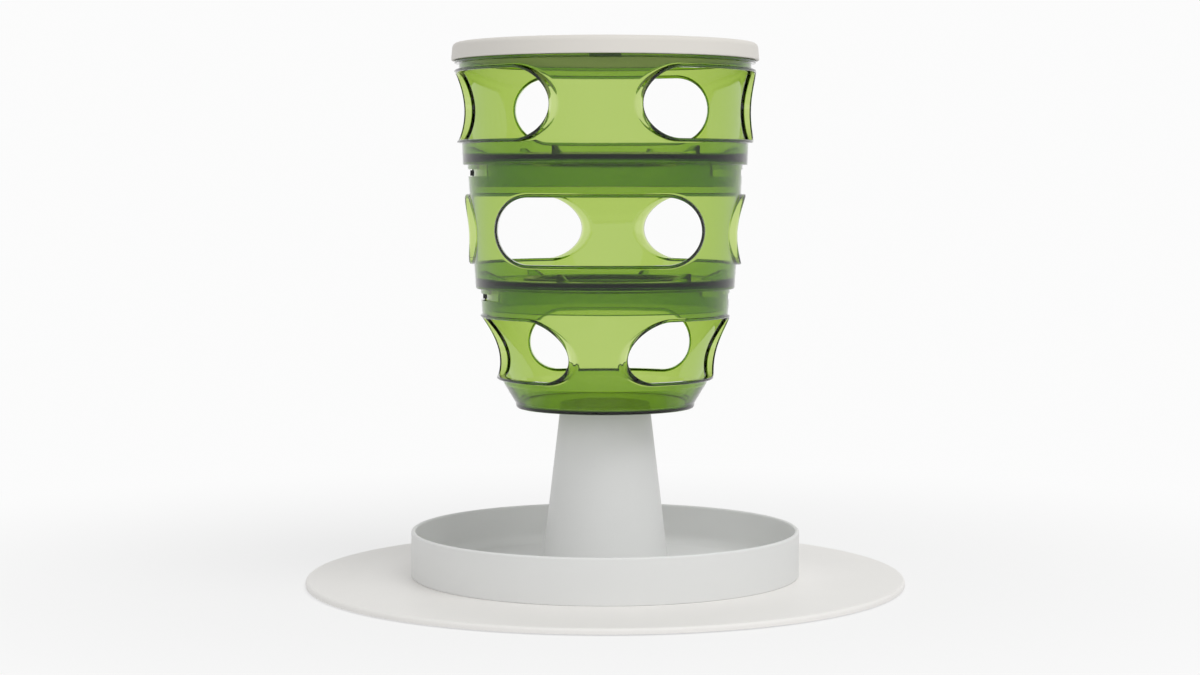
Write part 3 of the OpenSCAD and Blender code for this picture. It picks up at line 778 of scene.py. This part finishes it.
class FoodTreeSizes(bpy.types.PropertyGroup):
    """Sizes of the tower's edges and of the meshes."""
    lip_width: FloatProperty(
        name="Lip width", description="Width of the rolled lip around a paw opening",
        default=1.7 * MM, min=1.0 * MM, max=3.0 * MM, precision=4, unit="LENGTH", subtype="DISTANCE")
    turn_step: FloatProperty(
        name="Turn step", description="Angle between the columns of a tier's mesh, in degrees",
        default=2.0, min=1.0, max=5.0)
    segments: IntProperty(
        name="Segments", description="Number of segments around a turned piece",
        default=192, min=48, max=360)
    web_count: IntProperty(
        name="Webs", description="Number of webs on each floor", default=6, min=0, max=12)
    pad_count: IntProperty(
        name="Pads", description="Number of rubber pads under the plate", default=6, min=3, max=12)


class FoodTreeFinish(bpy.types.PropertyGroup):
    """Colours and gloss of the mouldings."""
    plate_white: FloatVectorProperty(
        name="Plate", description="Colour of the base plate", default=(0.85, 0.835, 0.81),
        min=0, max=1, subtype="COLOR")
    dish_white: FloatVectorProperty(
        name="Dish and column", description="Colour of the dish and the column", default=(0.76, 0.765, 0.755),
        min=0, max=1, subtype="COLOR")
    lid_white: FloatVectorProperty(
        name="Lid", description="Colour of the lid", default=(0.695, 0.67, 0.625),
        min=0, max=1, subtype="COLOR")
    clear_green: FloatVectorProperty(
        name="Tower", description="Colour of white light behind one wall of the tower",
        default=(0.45, 0.60, 0.14), min=0, max=1, subtype="COLOR")
    tint_depth: FloatProperty(
        name="Tint depth", description="Depth of clear plastic that gives the tower's colour",
        default=2.4 * MM, min=0.5 * MM, max=20 * MM, precision=4, unit="LENGTH", subtype="DISTANCE")
    pad_rubber: FloatVectorProperty(
        name="Pads", description="Colour of the rubber pads", default=(0.05, 0.05, 0.052),
        min=0, max=1, subtype="COLOR")
    screw_steel: FloatVectorProperty(
        name="Screws", description="Colour of the column screws", default=(0.62, 0.62, 0.64),
        min=0, max=1, subtype="COLOR")
    white_gloss: FloatProperty(
        name="White gloss", description="Gloss of the white mouldings, from matt to polished",
        default=0.5, min=0, max=1, subtype="FACTOR")


class FoodTreeStage(bpy.types.PropertyGroup):
    """Light, floor and camera."""
    sky: FloatProperty(
        name="Sky", description="Strength of the even light from all around", default=0.6, min=0, max=2)
    key_power: FloatProperty(
        name="Key light", description="Power of the large soft light above, to the right",
        default=20.0, min=0, max=400, unit="POWER")
    fill_power: FloatProperty(
        name="Fill light", description="Power of the large soft light in front",
        default=10.0, min=0, max=400, unit="POWER")
    white: FloatProperty(
        name="White", description="Level of the background as the camera sees it", default=0.97, min=0, max=1)
    floor_lift: FloatProperty(
        name="Floor lift", description="Share of plain white in the floor as the camera sees it",
        default=0.63, min=0, max=1, subtype="FACTOR")
    lens: FloatProperty(
        name="Lens", description="Focal length of the camera, in millimetres", default=72.53, min=20, max=300)
    camera_distance: FloatProperty(
        name="Camera distance", description="Distance of the camera in front of the tower's axis",
        default=1.4109, min=0.3, max=5, unit="LENGTH", subtype="DISTANCE")
    camera_height: FloatProperty(
        name="Camera height", description="Height of the camera above the floor",
        default=0.2333, min=0, max=2, unit="LENGTH", subtype="DISTANCE")
    camera_drop: FloatProperty(
        name="Camera drop", description="Angle by which the camera looks down",
        default=math.radians(3.645), unit="ROTATION", subtype="ANGLE")


# Operators

class FOODTREE_OT_dish(bpy.types.Operator):
    """Turns the food dish from its profile"""
    bl_idname = "food_tree.dish"
    bl_label = "Food Dish"

    def execute(self, context):
        low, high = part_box("food_dish")
        r, z0, z1 = high.x / MM, low.z / MM, high.z / MM
        material = finish_of("dish_white")
        inner_r, floor_z, rim_round = r - 2.5, z0 + 2.3, 1.25
        rows = rounded([
            (0.0, floor_z, 0, ""), (inner_r, floor_z, 6.0, ""), (inner_r, z1, rim_round, ""),
            (r, z1, rim_round, ""), (r, z0, 0.5, ""), (0.0, z0, 0, "")], steps=7)
        mesh = turned_piece("dish_bowl", rows, context.scene.food_tree_sizes.segments, material)
        finished(closed_piece("dish_bowl", mesh, material), "base", "dish_white", "food_dish")
        return {"FINISHED"}


class FOODTREE_OT_lid(bpy.types.Operator):
    """Turns the lid from its profile"""
    bl_idname = "food_tree.lid"
    bl_label = "Lid"

    def execute(self, context):
        low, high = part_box("lid")
        r, z0, z1 = high.x / MM, low.z / MM, high.z / MM
        material = finish_of("lid_white")
        wall, draft = 2.2, 0.9
        under, ring_r, ring_z = z1 - wall, r - 7.15, z0 + 1.85
        rows = rounded([
            (0.0, z1, 0, ""), (r - draft, z1, 3.0, ""), (r, z0, 0.6, ""), (r - wall, z0, 0.4, ""),
            (r - wall, under, 1.0, ""), (ring_r, under, 0.3, ""), (ring_r, ring_z, 0.3, ""),
            (ring_r - wall, ring_z, 0.3, ""), (ring_r - wall, under, 0.3, ""), (0.0, under, 0, "")], steps=7)
        mesh = turned_piece("lid_cap", rows, context.scene.food_tree_sizes.segments, material)
        finished(closed_piece("lid_cap", mesh, material), "lid", "lid_white", "lid")
        return {"FINISHED"}


class FOODTREE_OT_pads(bpy.types.Operator):
    """Sets ridged rubber pads around the underside of the plate"""
    bl_idname = "food_tree.pads"
    bl_label = "Rubber Pads"

    def execute(self, context):
        low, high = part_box("rubber_pads")
        pad_r, z0, z1 = 9.0, low.z / MM, high.z / MM
        middle = high.x / MM - pad_r
        material = finish_of("pad_rubber")
        groove, groove_w, flank = 0.3, 1.1, 0.3
        corners = [(0.0, z1, 0, ""), (pad_r, z1, 0.3, ""), (pad_r, z0, 0.4, "")]
        for groove_r in (6.9, 3.7):
            corners += [(groove_r, z0, 0.1, ""), (groove_r - flank, z0 + groove, 0.1, ""),
                        (groove_r - groove_w, z0 + groove, 0.1, ""), (groove_r - groove_w - flank, z0, 0.1, "")]
        rows = rounded(corners + [(0.0, z0, 0, "")], steps=3, support=0.1)
        pad = turned_piece("pad", rows, segments=48, material=material)
        for vertex in pad.vertices:
            vertex.co.x += middle * MM
        count = context.scene.food_tree_sizes.pad_count
        mesh = ring_of_copies("plate_pads", pad, count, 0.0, material)
        finished(closed_piece("plate_pads", mesh, material), "base", "pad_rubber", "rubber_pads")
        return {"FINISHED"}


class FOODTREE_OT_tiers(bpy.types.Operator):
    """Builds the three see-through tiers with their rolled lips, locks and floors"""
    bl_idname = "food_tree.tiers"
    bl_label = "Tiers"

    def execute(self, context):
        sizes = context.scene.food_tree_sizes
        material = finish_of("clear_green")
        for body, tier in tower_tiers(sizes).items():
            piece = tier_piece(f"tier_{body}", tier, sizes.turn_step, material)
            finished(piece, body, "clear_green", f"{body}_tier")
        return {"FINISHED"}


class FOODTREE_OT_drop_cups(bpy.types.Operator):
    """Builds the drop cups that sit in the two upper floors"""
    bl_idname = "food_tree.drop_cups"
    bl_label = "Drop Cups"

    def execute(self, context):
        segments = context.scene.food_tree_sizes.segments
        material = finish_of("clear_green")
        for body, floor_z in FLOORS.items():
            name = f"drop_cup_{body}"
            mesh = turned_piece(name, drop_cup_rows(floor_z), segments, material)
            finished(closed_piece(name, mesh, material), body, "clear_green", f"{body}_drop_cup")
        return {"FINISHED"}


class FOODTREE_OT_webs(bpy.types.Operator):
    """Sets webs around the two upper floors"""
    bl_idname = "food_tree.webs"
    bl_label = "Floor Webs"

    def execute(self, context):
        sizes = context.scene.food_tree_sizes
        material = finish_of("clear_green")
        tiers = tower_tiers(sizes)
        for body, floor_z in FLOORS.items():
            web = floor_web(float(tiers[body]["inner"](floor_z)), floor_z)
            mesh = ring_of_copies(f"floor_webs_{body}", web, sizes.web_count, WEB_TURN, material)
            piece = closed_piece(f"floor_webs_{body}", mesh, material)
            finished(piece, body, "clear_green")
        return {"FINISHED"}


class FOODTREE_OT_solids(bpy.types.Operator):
    """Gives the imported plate, column, screws and lid liner their finishes"""
    bl_idname = "food_tree.solids"
    bl_label = "Packed Solids"

    def execute(self, context):
        for node, slot in (("base_plate", "plate_white"), ("column", "dish_white"),
                           ("column_screws", "screw_steel"), ("lid_liner", "lid_white")):
            for place in frame["nodes"][node].material_slots:
                place.material = finish_of(slot)
        return {"FINISHED"}


class FOODTREE_OT_stage(bpy.types.Operator):
    """Sets up the floor, the light and the camera"""
    bl_idname = "food_tree.stage"
    bl_label = "Stage"

    def execute(self, context):
        scene = context.scene
        stage = scene.food_tree_stage
        self.make_floor(stage)
        self.make_world(scene, stage)
        self.make_lamp(scene, "key", (0.95, -0.9, 2.0), size=1.5, power=stage.key_power)
        self.make_lamp(scene, "fill", (-0.5, -2.6, 0.9), size=2.0, power=stage.fill_power)
        self.make_camera(scene, stage)
        scene.view_settings.view_transform = "Standard"
        scene.cycles.max_bounces = 32
        scene.cycles.transmission_bounces = 32
        return {"FINISHED"}

    @staticmethod
    def make_floor(stage):
        """A pale floor that keeps the shadow near the object and fades into the background."""
        near_edge, far_edge = 0.19, 0.6
        material, start = new_material("stage_floor")
        place = start.node("ShaderNodeTexCoord", output="Object")
        distance = start.node("ShaderNodeVectorMath", {"operation": "LENGTH"}, {0: place}, output="Value")
        far = start.node("ShaderNodeMapRange", {"interpolation_type": "SMOOTHSTEP"}, {
            "Value": distance, "From Min": near_edge, "From Max": far_edge,
            "To Min": stage.floor_lift, "To Max": 1.0})
        lit = start.node("ShaderNodeBsdfDiffuse", {}, {"Color": (0.9, 0.9, 0.9, 1.0)})
        plain = start.node("ShaderNodeEmission", {}, {
            "Color": (1.0, 1.0, 1.0, 1.0), "Strength": stage.white})
        mixed = start.node("ShaderNodeMixShader", {}, {0: seen_directly(start) * far, 1: lit, 2: plain})
        start.node("ShaderNodeOutputMaterial", {}, {"Surface": mixed})
        mesh = bpy.data.meshes.new("stage_floor")
        half = 12.0
        corners = [(-half, -half, 0), (half, -half, 0), (half, half, 0), (-half, half, 0)]
        mesh.from_pydata(corners, [], [(0, 1, 2, 3)])
        mesh.materials.append(material)
        floor = bpy.data.objects.new("stage_floor", mesh)
        bpy.context.scene.collection.objects.link(floor)

    @staticmethod
    def make_world(scene, stage):
        """Even light from all around, seen as a white background."""
        world = bpy.data.worlds.new("stage_world")
        world.use_nodes = True
        world.node_tree.nodes.clear()
        start = Signal(world.node_tree)
        strength = stage.sky + seen_directly(start) * (stage.white - stage.sky)
        sky = start.node("ShaderNodeBackground", {}, {"Color": (1.0, 1.0, 1.0, 1.0), "Strength": strength})
        start.node("ShaderNodeOutputWorld", {}, {"Surface": sky})
        scene.world = world

    @staticmethod
    def make_lamp(scene, name, place, size, power):
        """A square soft light that is aimed at the column and stays out of reflections."""
        target = (0.0, 0.0, 0.12)
        lamp = bpy.data.lights.new("stage_" + name, "AREA")
        lamp.energy = power
        lamp.size = size
        item = bpy.data.objects.new("stage_" + name, lamp)
        scene.collection.objects.link(item)
        item.location = place
        item.visible_glossy = False
        item.visible_transmission = False
        aim = item.location.copy()
        aim.x, aim.y, aim.z = (t - p for t, p in zip(target, place))
        item.rotation_euler = aim.to_track_quat("-Z", "Y").to_euler()

    @staticmethod
    def make_camera(scene, stage):
        """The camera of the photograph, in front of the tower."""
        lens = bpy.data.cameras.new("stage_camera")
        lens.lens = stage.lens
        lens.sensor_width = 36.0
        lens.shift_x = -AXIS_OFFSET_PX / PHOTO_WIDTH_PX
        camera = bpy.data.objects.new("stage_camera", lens)
        scene.collection.objects.link(camera)
        camera.location = (0.0, -stage.camera_distance, stage.camera_height)
        camera.rotation_euler = (math.pi / 2 - stage.camera_drop, 0.0, 0.0)
        scene.camera = camera


OPERATORS = (
    FOODTREE_OT_solids, FOODTREE_OT_pads, FOODTREE_OT_dish, FOODTREE_OT_tiers,
    FOODTREE_OT_drop_cups, FOODTREE_OT_webs, FOODTREE_OT_lid, FOODTREE_OT_stage)


class FOODTREE_PT_panel(bpy.types.Panel):
    """Lists the pieces of the food tree and their settings"""
    bl_label = "Food Tree"
    bl_idname = "FOODTREE_PT_panel"
    bl_space_type = "VIEW_3D"
    bl_region_type = "UI"
    bl_category = "Food Tree"

    def draw(self, context):
        layout = self.layout
        for group in (context.scene.food_tree_sizes, context.scene.food_tree_finish,
                      context.scene.food_tree_stage):
            box = layout.box()
            for key in group.__annotations__:
                box.prop(group, key)
        for operator in OPERATORS:
            layout.operator(operator.bl_idname)


GROUPS = {
    "food_tree_sizes": FoodTreeSizes,
    "food_tree_finish": FoodTreeFinish,
    "food_tree_stage": FoodTreeStage,
}


def register():
    for cls in (*GROUPS.values(), *OPERATORS, FOODTREE_PT_panel):
        bpy.utils.register_class(cls)
    for key, cls in GROUPS.items():
        setattr(bpy.types.Scene, key, PointerProperty(type=cls))


def unregister():
    for key in GROUPS:
        delattr(bpy.types.Scene, key)
    for cls in (FOODTREE_PT_panel, *OPERATORS[::-1], *list(GROUPS.values())[::-1]):
        bpy.utils.unregister_class(cls)


def main():
    register()
    bpy.ops.food_tree.solids()
    bpy.ops.food_tree.pads()
    bpy.ops.food_tree.dish()
    bpy.ops.food_tree.tiers()
    bpy.ops.food_tree.drop_cups()
    bpy.ops.food_tree.webs()
    bpy.ops.food_tree.lid()
    bpy.ops.food_tree.stage()


if __name__ == "__main__":
    main()
